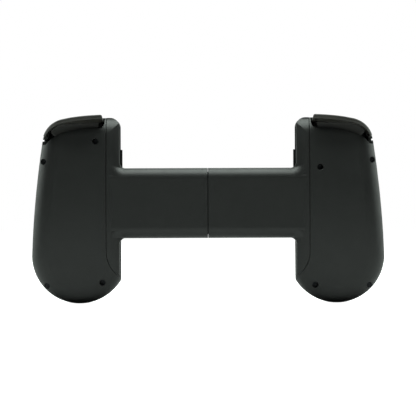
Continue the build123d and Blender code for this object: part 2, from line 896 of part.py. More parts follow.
def dpad_plate():
    x, z = dpad_place
    low_y, high_y = dpad_pivot_y - ring_thickness / 2, dpad_pivot_y + ring_thickness / 2
    reach = ring_radius + running_gap + ear_thickness - guide_gap
    with BuildPart() as ring:
        rod_y(x, z, ring_radius, low_y, high_y)
        rod_x(dpad_pivot_y, z, ring_pin_radius, x - reach, x + reach)
        rod_y(x, z, ring_radius - ring_wall, low_y - overrun, high_y + overrun, Mode.SUBTRACT)
        rod_z(
            x, dpad_pivot_y, ring_pin_radius + pin_gap, z - ring_radius - overrun,
            z + ring_radius + overrun, Mode.SUBTRACT,
        )
    return ring.part


def dpad_cross():
    x, z = dpad_place
    disc_low, disc_high = (
        dpad_pivot_y - dpad_disc_thickness / 2, dpad_pivot_y + dpad_disc_thickness / 2
    )
    with BuildPart() as cross:
        with BuildSketch(facing(front_y + dpad_rise)):
            add(cross_outline())
        extrude(amount=front_y + dpad_rise - dpad_arm_low_y)
        fillet(cross.faces().sort_by(Axis.Y)[-1].edges(), dpad_edge_radius)
        rod_y(x, z, dpad_hub_radius, disc_high - dpad_disc_thickness / 2, dpad_arm_low_y)
        rod_y(x, z, dpad_disc_radius, disc_low, disc_high)
        reach = ring_radius - guide_gap
        rod_z(x, dpad_pivot_y, ring_pin_radius, z - reach, z + reach)
    return cross.part


def button(place, radius, rise, side):
    x, z = place
    with BuildPart() as cap:
        rod_y(x, z, radius, flange_low_y, front_y + rise)
        fillet(cap.faces().sort_by(Axis.Y)[-1].edges(), button_edge_radius)
        rod_y(x, z, radius + button_flange, flange_low_y, flange_top_y)
        rod_y(x, z, stem_radius, stem_low_y, flange_low_y)
    return handed(cap.part, side)


def button_membrane(side):
    tip_face = stem_low_y - face_button_travel - guide_gap / 2
    tip_small = stem_low_y - small_button_travel - guide_gap / 2
    tip_pad = dpad_pivot_y - dpad_disc_thickness / 2 - face_button_travel / 2 - guide_gap / 2
    if side == "left":
        main, main_radius = dpad_place, dpad_disc_radius + dome_foot_radius - guide_gap
        domes = [
            (main[0] + a * dpad_disc_radius * 3 / 4, main[1] + b * dpad_disc_radius * 3 / 4)
            for a, b in ((1, 0), (-1, 0), (0, 1), (0, -1))
        ]
        tip = tip_pad
    else:
        main, main_radius = cluster_place, cluster_spacing + face_button_radius
        domes = cluster_centres()
        tip = tip_face
    with BuildPart() as membrane:
        rod_y(*main, main_radius, board_front_y, membrane_top_y)
        for place in small_button_places[side].values():
            rod_y(*place, membrane_margin, board_front_y, membrane_top_y)
            rod_y(*place, dome_tip_radius, membrane_top_y, tip_small)
        for x, z in domes:
            with BuildSketch(facing(membrane_top_y)):
                with Locations((x, z)):
                    Circle(dome_foot_radius)
            with BuildSketch(facing(tip)):
                with Locations((x, z)):
                    Circle(dome_tip_radius)
            loft()
    return handed(membrane.part, side)


def trigger_section(y, top_z, mid_z, bend_z, tip_z, inner_thickness, tip_thickness):
    """The trigger's blade where it crosses the plane at y."""
    tip_x = trigger_tip_x
    with BuildSketch(facing(y)) as section:
        with BuildLine():
            top = ThreePointArc(
                (trigger_inner_x, top_z), (trigger_mid_x, mid_z), (trigger_bend_x, bend_z)
            )
            shoulder = TangentArc(top @ 1, (tip_x, tip_z), tangent=top % 1)
            tip = Line(shoulder @ 1, (tip_x - tip_thickness, tip_z))
            under = ThreePointArc(
                (trigger_inner_x, top_z - inner_thickness),
                (trigger_mid_x, mid_z - inner_thickness),
                (trigger_bend_x, bend_z - inner_thickness),
            )
            TangentArc(under @ 1, tip @ 1, tangent=under % 1)
            Line(under @ 0, top @ 0)
        make_face()
        corner = section.vertices().sort_by_distance((trigger_inner_x, top_z))[0]
        fillet(corner, trigger_corner_radius)
    return section.sketch


def trigger(side):
    """A blade that follows the shoulder, a web under it and two arms to the pin."""
    dip = trigger_dip
    with BuildPart() as lever:
        loft(sections=[
            trigger_section(
                trigger_front_y, trigger_top_z - trigger_flare, trigger_mid_z - trigger_flare + dip,
                trigger_bend_z - dip, trigger_tip_z - trigger_flare + dip,
                trigger_root_thickness, trigger_tip_thickness,
            ),
            trigger_section(
                (trigger_front_y + trigger_lip_y) / 2, trigger_top_z - trigger_flare,
                trigger_mid_z - trigger_flare + dip, trigger_bend_z - dip, trigger_tip_z - dip,
                trigger_inner_thickness, trigger_tip_thickness,
            ),
            trigger_section(
                trigger_lip_y, trigger_top_z, trigger_mid_z, trigger_bend_z, trigger_tip_z,
                trigger_inner_thickness, trigger_tip_thickness,
            ),
        ])
        with BuildSketch(Plane.XY):
            with BuildLine():
                lip = ThreePointArc(
                    (trigger_inner_x, trigger_lip_y),
                    (trigger_bend_x, trigger_lip_y + trigger_tip_thickness / 2),
                    (trigger_lip_end_x, trigger_lip_end_y),
                )
                Polyline(
                    lip @ 1, (trigger_lip_end_x, trigger_front_y),
                    (trigger_inner_x, trigger_front_y), lip @ 0,
                )
            make_face()
        extrude(amount=far_z, mode=Mode.INTERSECT)
        lip_top = (trigger_bend_x, trigger_lip_y + trigger_tip_thickness / 2, trigger_bend_z)
        fillet(lever.edges().sort_by_distance(lip_top)[0], trigger_lip_radius)
        with BuildSketch(facing(web_y + web_thickness)):
            with BuildLine():
                Polyline(
                    (web_inner_x, web_low_z), (web_mid_x, web_low_z), (web_mid_x, web_deep_z),
                    (web_slope_x, web_deep_z), (web_outer_x, web_low_z),
                    (web_outer_x, web_outer_z),
                    (trigger_bend_x, trigger_bend_z - trigger_inner_thickness),
                    (web_inner_x, trigger_top_z - trigger_flare - trigger_inner_thickness / 2),
                    close=True,
                )
            make_face()
        extrude(amount=web_thickness)
        for x in trigger_arm_xs:
            with BuildSketch(Plane.YZ.offset(x)):
                with BuildLine():
                    Polyline(
                        (web_y, web_deep_z),
                        (trigger_pivot_y, trigger_pivot_z - trigger_eye_radius),
                        (trigger_pivot_y, trigger_pivot_z + trigger_eye_radius),
                        (web_y, web_outer_z), close=True,
                    )
                make_face()
            extrude(amount=trigger_arm_thickness)
            rod_x(
                trigger_pivot_y, trigger_pivot_z, trigger_eye_radius, x, x + trigger_arm_thickness
            )
        rod_x(
            trigger_pivot_y, trigger_pivot_z, trigger_pin_radius + pin_gap,
            trigger_arm_xs[0] - overrun, trigger_arm_xs[1] + trigger_arm_thickness + overrun,
            Mode.SUBTRACT,
        )
    return handed(lever.part, side)


def trigger_pin(side):
    with BuildPart() as pin:
        rod_x(
            trigger_pivot_y, trigger_pivot_z, trigger_pin_radius,
            bracket_xs[0], bracket_xs[1] + bracket_thickness,
        )
    return handed(pin.part, side)


def trigger_spring(side):
    with BuildPart() as spring:
        rod_x(
            trigger_pivot_y, trigger_pivot_z, trigger_spring_radius,
            trigger_spring_low_x, trigger_spring_high_x,
        )
        rod_x(
            trigger_pivot_y, trigger_pivot_z, trigger_spring_bore,
            trigger_spring_low_x - overrun, trigger_spring_high_x + overrun, Mode.SUBTRACT,
        )
    return handed(spring.part, side)


def bumper(side):
    """A band round the grip's shoulder that rocks on a pin at its inner end."""
    with BuildPart() as rocker:
        with BuildSketch(facing(bumper_front_y)):
            add(bumper_band(bumper_inner_x, bumper_end_z, bumper_thickness))
        extrude(amount=bumper_front_y - bumper_rear_y)
        rod_y(
            bumper_pivot_x, bumper_pivot_z, bumper_eye_radius, bumper_eye_low_y, bumper_eye_high_y
        )
        block(
            (bumper_inner_x, bumper_rear_y, bumper_end_z), (far_x, bumper_front_y, far_z),
            Mode.INTERSECT,
        )
        add(blank, mode=Mode.INTERSECT)
        rod_y(
            bumper_pivot_x, bumper_pivot_z, bumper_pin_radius + pin_gap,
            bumper_eye_low_y - overrun, bumper_eye_high_y + overrun, Mode.SUBTRACT,
        )
    return handed(rocker.part, side)


def bumper_switch(side):
    x = (shelf_low_x + shelf_high_x) / 2
    low_z = shelf_low_z + shelf_thickness
    with BuildPart() as switch:
        block(
            (x - switch_half, switch_y - switch_half, low_z),
            (x + switch_half, switch_y + switch_half, low_z + switch_height),
        )
        rod_z(
            x, switch_y, switch_plunger_radius, low_z + switch_height,
            low_z + switch_height + switch_plunger_height,
        )
    return handed(switch.part, side)


def headphone_jack():
    y = board_front_y + jack_half
    with BuildPart() as jack:
        rod_z(jack_x, y, jack_nozzle_radius, jack_mouth_z, jack_mouth_z + jack_nozzle_length)
        block(
            (jack_x - jack_half, y - jack_half, jack_mouth_z + jack_nozzle_length),
            (jack_x + jack_half, y + jack_half, jack_mouth_z + jack_length),
        )
        rod_z(
            jack_x, y, jack_bore_radius, jack_mouth_z - overrun, jack_mouth_z + jack_bore_depth,
            Mode.SUBTRACT,
        )
    return jack.part


def charge_port():
    y = board_front_y + port_height / 2
    with BuildPart() as port:
        with BuildSketch(Plane.XY.offset(port_mouth_z)):
            with Locations((port_x, y)):
                RectangleRounded(port_width, port_height, port_height / 2 - port_wall / 2)
        extrude(amount=port_depth)
        with BuildSketch(Plane.XY.offset(port_mouth_z)):
            with Locations((port_x, y)):
                RectangleRounded(
                    port_width - 2 * port_wall, port_height - 2 * port_wall,
                    port_height / 2 - 2 * port_wall,
                )
        extrude(amount=port_depth - port_wall, mode=Mode.SUBTRACT)
        with Locations((port_x, y, port_mouth_z + port_depth / 2 + port_wall)):
            Box(port_tongue_width, port_tongue_height, port_depth - 2 * port_wall)
    return handed(port.part, "right")


def status_light():
    with BuildPart() as light:
        rod_y(*light_place, light_radius, board_front_y, front_y)
        rod_y(*light_place, light_flange_radius, board_front_y, membrane_top_y)
    return handed(light.part, "right")


def phone_plug():
    pivot_x = channel_floor_x + plug_pivot_depth
    with BuildPart() as plug:
        with BuildSketch(Plane.YZ.offset(channel_floor_x - plug_length)):
            with Locations((channel_mid_y, bridge_z)):
                RectangleRounded(plug_height, plug_width, plug_height / 2 - plug_wall / 2)
        extrude(amount=plug_length + running_gap)
        with BuildSketch(Plane.YZ.offset(channel_floor_x - plug_length)):
            with Locations((channel_mid_y, bridge_z)):
                RectangleRounded(
                    plug_height - 2 * plug_wall, plug_width - 2 * plug_wall,
                    plug_height / 2 - 2 * plug_wall,
                )
        extrude(amount=plug_length - plug_wall, mode=Mode.SUBTRACT)
        block(
            (channel_floor_x + running_gap, channel_mid_y - plug_base_height / 2,
             bridge_z - plug_base_width / 2),
            (pivot_x, channel_mid_y + plug_base_height / 2, bridge_z + plug_base_width / 2),
        )
        rod_z(
            pivot_x, channel_mid_y, plug_base_height / 2, bridge_z - plug_base_width / 2,
            bridge_z + plug_base_width / 2,
        )
        reach = plug_base_width / 2 + plug_pin_length
        rod_z(pivot_x, channel_mid_y, plug_pin_radius, bridge_z - reach, bridge_z + reach)
    return handed(plug.part, "right")


def plug_carrier():
    pivot_x = channel_floor_x + plug_pivot_depth
    inner = plug_base_width / 2 + running_gap
    with BuildPart() as carrier:
        for hand in (-1, 1):
            near, far = hand * inner, hand * (inner + carrier_plate)
            block(
                (cavity_x, channel_mid_y - carrier_half_height, bridge_z + min(near, far)),
                (cavity_x + carrier_depth + carrier_back, channel_mid_y + carrier_half_height,
                 bridge_z + max(near, far)),
            )
        block(
            (cavity_x + carrier_depth, channel_mid_y - carrier_half_height,
             bridge_z - inner - carrier_plate),
            (cavity_x + carrier_depth + carrier_back, channel_mid_y + carrier_half_height,
             bridge_z + inner + carrier_plate),
        )
        reach = inner + carrier_plate + overrun
        rod_z(
            pivot_x, channel_mid_y, plug_pin_radius + pin_gap, bridge_z - reach, bridge_z + reach,
            Mode.SUBTRACT,
        )
    return handed(carrier.part, "right")


os.makedirs("parts", exist_ok=True)

keep(bridge_core(), "bridge_core")
keep(core_cover(), "core_cover")
keep(flex_cable(), "flex_cable")
for side in ("left", "right"):
    keep(slide_spring(side), f"{side}_slide_spring")
    for maker in (
        rear_cover, front_cover, bridge_shell, bridge_plate, cradle_pad, case_screws,
        circuit_board, stick_base, stick_yoke, stick_gimbal, stick_cap, button_membrane,
        trigger, trigger_pin, trigger_spring, bumper, bumper_switch,
    ):
        keep(maker(side), f"{side}_{maker.__name__}")
    for name, place in small_button_places[side].items():
        keep(button(place, small_button_radius, small_button_rise, side), name)
for name, place in zip(("top", "bottom", "left", "right"), cluster_centres()):
    keep(button(place, face_button_radius, face_button_rise, "right"), f"{name}_face_button")
keep(dpad_plate(), "dpad_plate")
keep(dpad_cross(), "dpad_cross")
keep(headphone_jack(), "headphone_jack")
keep(charge_port(), "charge_port")
keep(status_light(), "status_light")
keep(phone_plug(), "phone_plug")
keep(plug_carrier(), "plug_carrier")
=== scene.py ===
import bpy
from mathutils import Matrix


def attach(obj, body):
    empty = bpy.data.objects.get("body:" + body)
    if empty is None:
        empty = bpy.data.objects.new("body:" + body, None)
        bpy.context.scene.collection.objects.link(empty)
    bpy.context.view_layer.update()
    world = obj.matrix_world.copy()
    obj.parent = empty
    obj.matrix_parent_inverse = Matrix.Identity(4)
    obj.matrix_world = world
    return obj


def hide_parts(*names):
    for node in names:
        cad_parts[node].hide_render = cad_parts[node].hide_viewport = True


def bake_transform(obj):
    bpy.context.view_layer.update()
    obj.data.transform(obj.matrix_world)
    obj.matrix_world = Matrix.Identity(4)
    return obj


bl_info = {
    "name": "Phone Game Controller",
    "version": (1, 0, 0),
    "blender": (4, 5, 0),
    "location": "View3D > Sidebar > Controller",
    "description": "Finishes, sticks, buttons, pads and springs of a sliding phone controller",
    "category": "Add Mesh",
}

from math import asin, cos, pi, radians, sin

import bmesh
import bpy
from mathutils import Euler, Matrix, Vector

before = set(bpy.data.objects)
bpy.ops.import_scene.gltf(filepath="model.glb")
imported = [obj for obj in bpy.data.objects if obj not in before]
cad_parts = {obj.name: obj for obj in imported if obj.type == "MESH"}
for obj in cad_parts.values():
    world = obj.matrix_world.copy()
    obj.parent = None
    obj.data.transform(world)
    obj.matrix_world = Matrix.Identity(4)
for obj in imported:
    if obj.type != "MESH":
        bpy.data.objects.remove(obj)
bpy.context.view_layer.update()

MM = 0.001
SIDES = {"left": 1, "right": -1}

# Places and sizes that the frame fixes, in millimetres
STICKS = {"left": (69.8, 66.0), "right": (-66.5, 38.0)}
STICK_PIVOT_Y = 1.6
DOME_RADIUS, DOME_THICKNESS, DOME_ANGLE = 11.4, 1.0, 58.0
CAP_RADIUS, CAP_HEIGHT, CAP_TOP = 8.2, 2.0, 15.4
NECK_RADIUS, TUBE_RADIUS, TUBE_FOOT = 4.2, 3.0, 4.8
BORE_RADIUS, BORE_TOP = 1.75, 11.3
FACE_BUTTONS = {
    "top": (-66.5, 74.4), "bottom": (-66.5, 57.6), "left": (-58.1, 66.0), "right": (-74.9, 66.0),
}
FACE_BUTTON_RADIUS, FACE_BUTTON_TOP = 4.1, 13.4
SMALL_BUTTONS = {
    "options_button": (57.8, 50.5), "capture_button": (56.4, 20.5),
    "menu_button": (-59.2, 52.2), "home_button": (-56.4, 20.5),
}
SMALL_BUTTON_RADIUS, SMALL_BUTTON_TOP = 2.5, 12.0
STEM_RADIUS, STEM_LOW_Y, STEM_BEVEL = 1.6, 6.2, 0.2
FLANGE_LOW_Y, FLANGE_TOP_Y, FLANGE_REACH = 7.6, 8.9, 0.8
PAD_INNER_X, PAD_OUTER_X = 47.7, 48.4
PAD_LOW_Y, PAD_HIGH_Y = 0.6, 7.8
PAD_SPANS = {"left": ((12.7, 87.3),), "right": ((12.7, 43.8), (56.2, 87.3))}
SPRING_Y, SPRING_RISE, BRIDGE_Z = -6.1, 6.0, 50.0
SPRING_ENDS = (-36.75, 8.45)
SPRING_RADIUS, SPRING_WIRE, SPRING_TURNS = 1.6, 0.6, 56
SPRING_LEAD, SPRING_LEG = 1.6, 1.9
TRIGGER_PIN = (1.6, 82.6)
TRIGGER_SPRING_X = (64.2, 70.2)
TRIGGER_COIL_RADIUS, TRIGGER_WIRE, TRIGGER_TURNS = 1.5, 0.5, 9

# Small forms of the pieces, in millimetres: the buttons' flat rims, the band of the caps' rims
# that is notched, the slope of the grooves' walls, and how near points are merged
CROWN_EDGE = 0.5
KNURL_REACH, KNURL_LOW, KNURL_HIGH = 0.3, 0.3, 1.5
GROOVE_SLOPE = 0.12
MERGE_DISTANCE = 0.002

# Shares of the grooves' pitch: half a groove, the tallest face in one, how far off its middle
# may lie, and how far past the first and last groove it may
GROOVE_HALF, GROOVE_TALL, GROOVE_OFF, GROOVE_END = 0.25, 0.55, 0.2, 0.3

# Steps of the round forms; each knurl takes KNURL_STEPS of the cap's steps, half of them notched
CAP_STEPS, KNURL_STEPS, BUTTON_STEPS = 96, 4, 48
DOME_STEPS, CROWN_STEPS = 10, 6
COIL_STEPS, WIRE_SIDES, LEG_SIDES = 14, 8, 10
FLOOR_SIDES = 96

# Parts of the patterns' range that colours, gloss and dust are spread over, the spread of the
# gloss, and the size of a dust fleck in millimetres
PATCH_RANGE, GLOSS_RANGE, FLECK_RANGE = (0.35, 0.7), (0.3, 0.7), (0.735, 0.76)
GLOSS_LOW, GLOSS_HIGH = 0.92, 1.08
FLECK_SIZE = 0.9
TRACK_PITCH = 6.0

# The mould's edge radii, in millimetres, and the lamps' slightly green white
MOULDED_EDGE, POLISHED_EDGE = 0.45, 0.95
LAMP_TINT = (0.9, 1.0, 0.94)

# Each lamp's power setting, place and size, and the point that all of them face, in metres
LAMPS = (
    ("Top_Lamp", "top_light", (0, -0.04, 0.95), (1.6, 1.0)),
    ("Rear_Lamp", "rear_light", (0, -1.4, 0.8), (1.6, 1.2)),
    ("Left_Lamp", "side_light", (-0.9, 0.45, 0.35), (1.1, 0.6)),
    ("Right_Lamp", "side_light", (0.9, 0.45, 0.35), (1.1, 0.6)),
    ("Front_Lamp", "side_light", (0.3, 1.2, 0.8), (1.0, 0.8)),
)
LAMP_AIM = (0, 0, 0.05)
FLOOR_RADIUS = 3.0
CAMERA_HEIGHT, CAMERA_ROLL = 47.5 * MM, 0.22
CAMERA_CLIP = (0.01, 20.0)
BLACK, WHITE = (0, 0, 0, 1), (1, 1, 1, 1)


def linear(code):
    """An sRGB hex colour as linear RGB."""
    parts = [int(code[i:i + 2], 16) / 255 for i in (1, 3, 5)]
    return tuple(c / 12.92 if c <= 0.04045 else ((c + 0.055) / 1.055) ** 2.4 for c in parts)


def put(tree, kind, values=(), links=(), **settings):
    """Adds one node with its settings, socket values and incoming links."""
    node = tree.nodes.new(kind)
    for key, value in settings.items():
        setattr(node, key, value)
    for key, value in dict(values).items():
        node.inputs[key].default_value = value
    for key, socket in dict(links).items():
        tree.links.new(socket, node.inputs[key])
    return node


def blank_material(name):
    """A new material with a surface shader, and the place that patterns read."""
    material = bpy.data.materials.new(name)
    material.use_nodes = True
    tree = material.node_tree
    tree.nodes.clear()
    shader = put(tree, "ShaderNodeBsdfPrincipled")
    put(tree, "ShaderNodeOutputMaterial", links={"Surface": shader.outputs[0]})
    place = put(tree, "ShaderNodeTexCoord").outputs["Object"]
    return material, tree, shader, place


def noise(tree, place, size_mm, detail=2.0, rough=0.5):
    """Soft noise whose lumps are about size_mm across."""
    return put(
        tree, "ShaderNodeTexNoise",
        {"Scale": 1 / (size_mm * MM), "Detail": detail, "Roughness": rough}, {"Vector": place},
    ).outputs[0]


def remap(tree, value, low, high, to_low=0.0, to_high=1.0):
    """Maps one range of a value onto another."""
    return put(
        tree, "ShaderNodeMapRange",
        {"From Min": low, "From Max": high, "To Min": to_low, "To Max": to_high}, {"Value": value},
    ).outputs[0]


def blend_colours(tree, factor, first, second):
    """Mixes two colours, each a linear colour or a socket, by a factor socket."""
    values, links = {}, {0: factor}
    for index, colour in ((6, first), (7, second)):
        if isinstance(colour, tuple):
            values[index] = (*colour, 1.0)
        else:
            links[index] = colour
    return put(tree, "ShaderNodeMix", values, links, data_type="RGBA").outputs[2]


def soft_edges(tree, radius_mm):
    """Normals that round each sharp edge over a small radius, so that it catches the light."""
    return put(tree, "ShaderNodeBevel", {"Radius": radius_mm * MM}, samples=6).outputs[0]


def relief(tree, height, depth_mm, edge_mm=0.0):
    """Normals from a height pattern, over edges rounded by edge_mm where it is given."""
    links = {"Height": height}
    if edge_mm:
        links["Normal"] = soft_edges(tree, edge_mm)
    return put(
        tree, "ShaderNodeBump", {"Strength": 1.0, "Distance": depth_mm * MM}, links
    ).outputs[0]


def connect(tree, shader, base, gloss, normal):
    """Links a shader's colour, roughness and normal."""
    for socket, value in (("Base Color", base), ("Roughness", gloss), ("Normal", normal)):
        tree.links.new(value, shader.inputs[socket])


def moulded(
    name, colour, worn, roughness, grain_mm, depth_mm, patch_mm=14.0, dust=0.0, ior=1.5
):
    """A moulded plastic or rubber: even colour, a cast grain, and wear that shows in the gloss."""
    material, tree, shader, place = blank_material(name)
    patches = remap(tree, noise(tree, place, patch_mm, 3.0, 0.6), *PATCH_RANGE)
    base = blend_colours(tree, patches, colour, worn)
    if dust:
        flecks = remap(tree, noise(tree, place, FLECK_SIZE, 4.0, 0.75), *FLECK_RANGE, 0.0, dust)
        base = blend_colours(tree, flecks, base, linear("#8d918f"))
    rubbed = noise(tree, place, patch_mm / 3, 4.0, 0.6)
    gloss = remap(tree, rubbed, *GLOSS_RANGE, roughness * GLOSS_LOW, roughness * GLOSS_HIGH)
    grain = noise(tree, place, grain_mm, 2.0, 0.6)
    connect(tree, shader, base, gloss, relief(tree, grain, depth_mm, MOULDED_EDGE))
    shader.inputs["IOR"].default_value = ior
    return material


def metal(name, colour, second, roughness, streak_mm, stretch):
    """A drawn or plated metal, whose fine streaks run along the stretched axes."""
    material, tree, shader, place = blank_material(name)
    drawn = put(
        tree, "ShaderNodeMapping", {"Scale": stretch}, {"Vector": place}
    ).outputs[0]
    streaks = noise(tree, drawn, streak_mm, 3.0, 0.65)
    base = blend_colours(tree, remap(tree, streaks, 0.35, 0.65), colour, second)
    gloss = remap(tree, streaks, *GLOSS_RANGE, roughness * 0.8, roughness * 1.25)
    connect(tree, shader, base, gloss, relief(tree, streaks, 0.008))
    shader.inputs["Metallic"].default_value = 1.0
    return material


def textured_abs(settings):
    """Spark-textured ABS: a dull charcoal, lighter at grazing light, with dust in its grain."""
    return moulded(
        "Textured_ABS", tuple(settings.shell_colour), tuple(settings.shell_worn),
        settings.shell_roughness, grain_mm=0.7, depth_mm=0.03, dust=0.5,
    )


def polished_abs(settings):
    """Polished ABS: brown-black and smoother than the shells, with a soft band of light."""
    material, tree, shader, place = blank_material("Polished_ABS")
    hairs = put(
        tree, "ShaderNodeMapping", {"Scale": (1.0, 0.12, 0.5)}, {"Vector": place}
    ).outputs[0]
    scratch = noise(tree, hairs, 0.5, 2.0, 0.5)
    smear = noise(tree, place, 11.0, 1.0, 0.5)
    base = blend_colours(
        tree, remap(tree, smear, *PATCH_RANGE), tuple(settings.trigger_colour), linear("#353330")
    )
    roughness = settings.trigger_roughness
    gloss = remap(tree, smear, *GLOSS_RANGE, roughness * 0.94, roughness * 1.06)
    connect(tree, shader, base, gloss, relief(tree, scratch, 0.0006, POLISHED_EDGE))
    shader.inputs["IOR"].default_value = 1.54
    shader.inputs["Coat Weight"].default_value = 0.15
    shader.inputs["Coat Roughness"].default_value = 0.2
    return material


def solder_mask():
    """Solder mask over copper: glossy green with the tracks showing as lighter bands."""
    material, tree, shader, place = blank_material("FR4_Solder_Mask")
    upright = put(
        tree, "ShaderNodeMapping", {"Rotation": (radians(90), 0, 0)}, {"Vector": place}
    ).outputs[0]
    tracks = put(
        tree, "ShaderNodeTexBrick",
        {"Scale": 1 / (TRACK_PITCH * MM), "Mortar Size": 0.06, "Color1": BLACK, "Color2": BLACK,
         "Mortar": WHITE},
        {"Vector": upright},
    ).outputs["Color"]
    base = blend_colours(tree, tracks, linear("#0d3d26"), linear("#1c6b41"))
    tree.links.new(base, shader.inputs["Base Color"])
    tree.links.new(relief(tree, tracks, 0.03), shader.inputs["Normal"])
    shader.inputs["Roughness"].default_value = 0.28
    return material


def light_pipe():
    """Frosted polycarbonate: a milky light guide."""
    material, tree, shader, place = blank_material("Frosted_Polycarbonate")
    cloud = noise(tree, place, 0.8)
    base = blend_colours(tree, cloud, linear("#d9dad4"), linear("#f0f0ea"))
    tree.links.new(base, shader.inputs["Base Color"])
    shader.inputs["Roughness"].default_value = 0.35
    shader.inputs["Transmission Weight"].default_value = 0.4
    shader.inputs["IOR"].default_value = 1.58
    return material


def finish_material(name):
    """One material by its finish, made on first use."""
    if name in bpy.data.materials:
        return bpy.data.materials[name]
    settings = bpy.context.scene.controller_finishes
    makers = {
        "Textured_ABS": lambda: textured_abs(settings),
        "Polished_ABS": lambda: polished_abs(settings),
        # Satin ABS: smoother than the shells, with a soft even shine
        "Satin_ABS": lambda: moulded(
            name, tuple(settings.button_colour), linear("#2c2d2c"),
            roughness=0.36, grain_mm=0.35, depth_mm=0.006, patch_mm=8.0,
        ),
        # Liquid silicone over the stick caps: dead matt, with greyer patches of thumb wear spread
        # at random
        "Thumb_Silicone": lambda: moulded(
            name, linear("#1b1b1b"), linear("#272727"),
            roughness=0.78, grain_mm=0.3, depth_mm=0.02, patch_mm=5.0, ior=1.42,
        ),
        # TPE pad: matt and slightly blotchy
        "TPE_Rubber": lambda: moulded(
            name, linear("#242524"), linear("#2f302f"),
            roughness=0.7, grain_mm=0.4, depth_mm=0.02, patch_mm=6.0, ior=1.46,
        ),
        # Keypad silicone: cloudy grey
        "Keypad_Silicone": lambda: moulded(
            name, linear("#a9adb3"), linear("#989ca2"),
            roughness=0.55, grain_mm=0.5, depth_mm=0.01, patch_mm=7.0, ior=1.42,
        ),
        # Glass-filled nylon: black-grey with pale flow marks
        "Glass_Filled_Nylon": lambda: moulded(
            name, linear("#2c2d2f"), linear("#3b3c3e"),
            roughness=0.5, grain_mm=0.6, depth_mm=0.015, patch_mm=4.0, ior=1.53,
        ),
        # Polyimide film: clear amber over copper
        "Polyimide_Film": lambda: moulded(
            name, linear("#a8641c"), linear("#8a4d12"),
            roughness=0.22, grain_mm=0.8, depth_mm=0.004, patch_mm=5.0, ior=1.7,
        ),
        # Black oxide on steel: dull blue-black with fine lighter streaks
        "Black_Oxide_Steel": lambda: metal(
            name, linear("#2a2b2d"), linear("#3b3c3e"),
            roughness=0.38, streak_mm=0.5, stretch=(1, 1, 1),
        ),
        # Music wire: bright with fine drawing lines along the wire
        "Spring_Steel": lambda: metal(
            name, linear("#a5a7aa"), linear("#8b8d91"),
            roughness=0.28, streak_mm=0.3, stretch=(0.3, 1, 1),
        ),
        # Nickel plate: warm white metal, nearly mirror-bright
        "Nickel_Plate": lambda: metal(
            name, linear("#c3bfb5"), linear("#aeaaa1"),
            roughness=0.2, streak_mm=0.8, stretch=(1, 1, 0.3),
        ),
        "FR4_Solder_Mask": solder_mask,
        "Frosted_Polycarbonate": light_pipe,
    }
    return makers[name]()


def dress(nodes, finish):
    """Gives CAD nodes a finish."""
    for name in nodes:
        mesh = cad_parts[name].data
        mesh.materials.clear()
        mesh.materials.append(finish_material(finish))


def add_piece(name, shape, body, finish, nodes=(), crease=35.0):
    """Makes a bmesh a piece that stands for some CAD nodes and rides on a body, if named."""
    bmesh.ops.remove_doubles(shape, verts=shape.verts, dist=MERGE_DISTANCE * MM)
    bmesh.ops.recalc_face_normals(shape, faces=shape.faces)
    mesh = bpy.data.meshes.new(name)
    shape.to_mesh(mesh)
    shape.free()
    for face in mesh.polygons:
        face.use_smooth = True
    mesh.set_sharp_from_angle(angle=radians(crease))
    mesh.materials.append(finish_material(finish))
    piece = bpy.data.objects.new(name, mesh)
    bpy.context.scene.collection.objects.link(piece)
    if body:
        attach(piece, body)
    if nodes:
        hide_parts(*nodes)
    return piece


def turned(profile, x, y, z, steps):
    """A ring of revolution about a line along Y: profile points are (radius, distance along Y)."""
    shape = bmesh.new()
    verts = [shape.verts.new(((x + r) * MM, (y + d) * MM, z * MM)) for r, d in profile]
    edges = [shape.edges.new(pair) for pair in zip(verts, verts[1:])]
    bmesh.ops.spin(
        shape, geom=verts + edges, cent=(x * MM, y * MM, z * MM), axis=(0, 1, 0),
        angle=2 * pi, steps=steps, use_merge=True,
    )
    return shape


def arc(radius, start, end, steps):
    """Points (across, along) on a circle about the pivot, by angles from the axis in degrees."""
    return [
        (radius * sin(radians(a)), radius * cos(radians(a)))
        for a in (start + (end - start) * i / steps for i in range(steps + 1))
    ]


def coil(x0, x1, y, z, radius, wire, turns, flip=1):
    """A wire coil along X about the line through (y, z), closed at its ends."""
    shape = bmesh.new()
    lead = (x1 - x0) / (turns * COIL_STEPS)
    bmesh.ops.create_circle(shape, cap_ends=False, radius=wire / 2 * MM, segments=WIRE_SIDES)
    turn = Matrix.Translation(Vector((x0, y, z + radius)) * MM) @ Matrix.Rotation(pi / 2, 4, "X")
    bmesh.ops.transform(shape, matrix=turn, verts=shape.verts)
    bmesh.ops.spin(
        shape, geom=shape.verts[:] + shape.edges[:], cent=(x0 * MM, y * MM, z * MM),
        axis=(flip, 0, 0), dvec=(lead * MM, 0, 0), angle=2 * pi * turns,
        steps=turns * COIL_STEPS,
    )
    bmesh.ops.holes_fill(shape, edges=[e for e in shape.edges if e.is_boundary], sides=0)
    return shape


def groove_run(low, high, pitch):
    """How many grooves fit between two heights in millimetres, and the height of the first."""
    grooves = int((high - low) * MM / pitch)
    return grooves, (low + high) / 2 * MM - (grooves - 1) / 2 * pitch


def in_groove(face, hand, spans, pitch):
    """True for a face of a pad's inner side that lies between the two cuts of one groove."""
    heights = [vert.co.z for vert in face.verts]
    if face.normal.x * hand >= -0.9 or max(heights) - min(heights) >= pitch * GROOVE_TALL:
        return False
    z = face.calc_center_median().z
    for low, high in spans:
        grooves, start = groove_run(low, high, pitch)
        step = (z - start) / pitch
        within = low * MM < z < high * MM and -GROOVE_END < step < grooves - 1 + GROOVE_END
        if within and abs(step - round(step)) < GROOVE_OFF:
            return True
    return False


